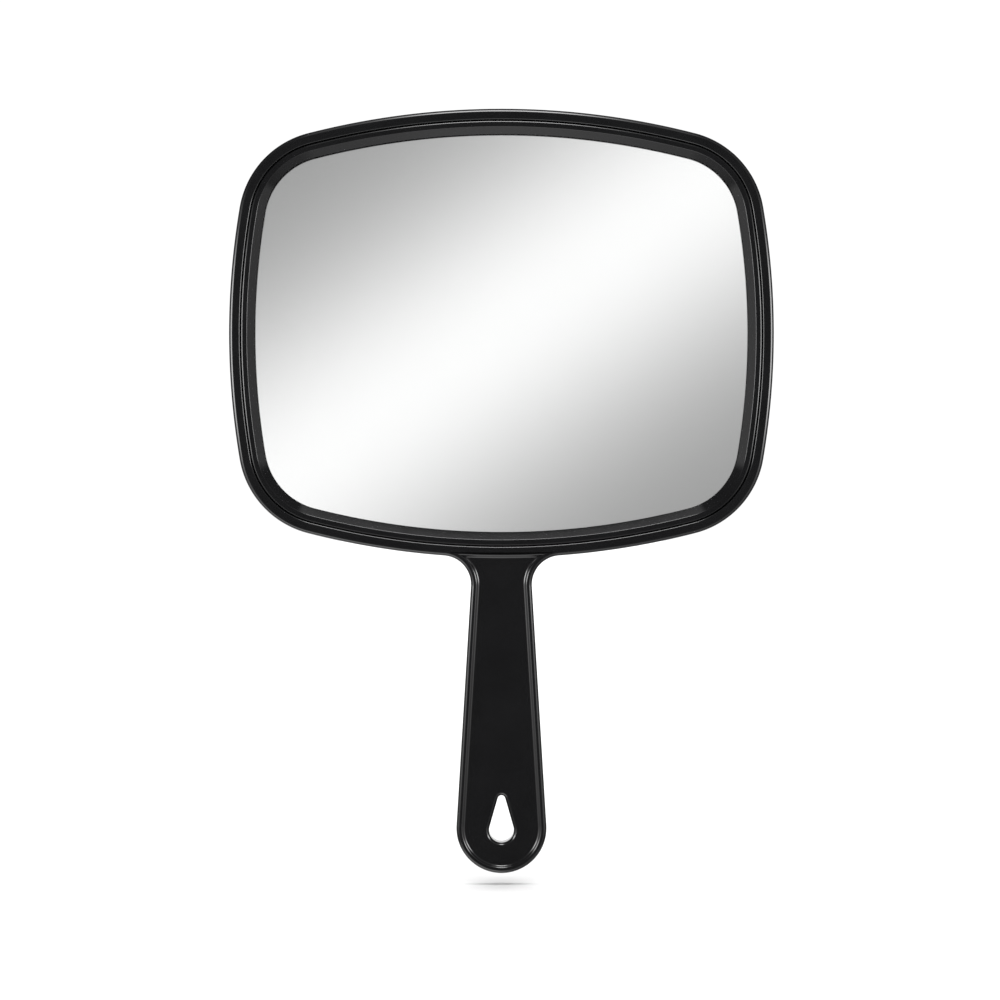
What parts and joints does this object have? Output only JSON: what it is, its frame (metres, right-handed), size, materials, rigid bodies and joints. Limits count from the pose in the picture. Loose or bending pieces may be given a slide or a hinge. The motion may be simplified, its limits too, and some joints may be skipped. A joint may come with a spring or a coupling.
{
  "type": "hand mirror",
  "caption": "Hand-held salon mirror: a rounded-rectangle head with a bevelled frame round a flat glass pane, on a tapered paddle handle with a sunk panel and a teardrop hanging hole.",
  "frame": {"origin": "middle of the handle's grip, on the symmetry plane and on the parting plane halfway through the thickness", "axes": "+Z runs along the handle towards the head, +X is across the width, and the glass faces -Y, so +Y points out of the back"},
  "size_m": [0.188, 0.013, 0.2637],
  "materials": {
    "frame_plastic": "gloss",
    "shell_plastic": "gloss",
    "glass": "polished",
    "silver": "polished",
    "backing_paint": "matte",
    "film": "satin",
    "foam": "matte",
    "tape": "matte"
  },
  "bodies": {
    "root": {"front_frame": "frame_plastic", "rear_shell": "shell_plastic", "bezel_ring": "frame_plastic", "mirror_glass": "glass", "silver_coating": "silver", "backing_paint": "backing_paint", "safety_film": "film", "foam_cushion": "foam", "tape_top": "tape", "tape_bottom": "tape", "tape_left": "tape", "tape_right": "tape"}
  },
  "joints": []
}
